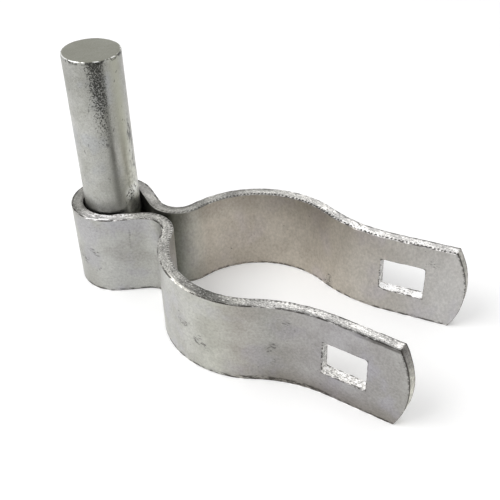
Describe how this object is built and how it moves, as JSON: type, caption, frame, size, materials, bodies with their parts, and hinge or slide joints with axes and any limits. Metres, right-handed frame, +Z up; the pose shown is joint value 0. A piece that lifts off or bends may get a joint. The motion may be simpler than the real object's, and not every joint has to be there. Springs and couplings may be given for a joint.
{
  "type": "chain link gate hinge",
  "caption": "Male chain link gate hinge: a bent flat steel strap that clasps a round gate post, with bolt ears and an upright round pin for the gate to turn on.",
  "frame": {"origin": "on the pin's axis, level with the strap's lower edge and the pin's foot", "axes": "+X from the pin to the bolt ears, +Y across the strap, +Z up along the pin"},
  "size_m": [0.1143, 0.0544, 0.0714],
  "materials": {
    "galvanised_strap": "dull galvanised zinc over hot rolled bar, with bright rough sheared edges",
    "galvanised_pin": "smooth dull galvanised zinc, with dark specks"
  },
  "bodies": {
    "root": {"strap": "galvanised_strap", "pin": "galvanised_pin"}
  },
  "joints": []
}
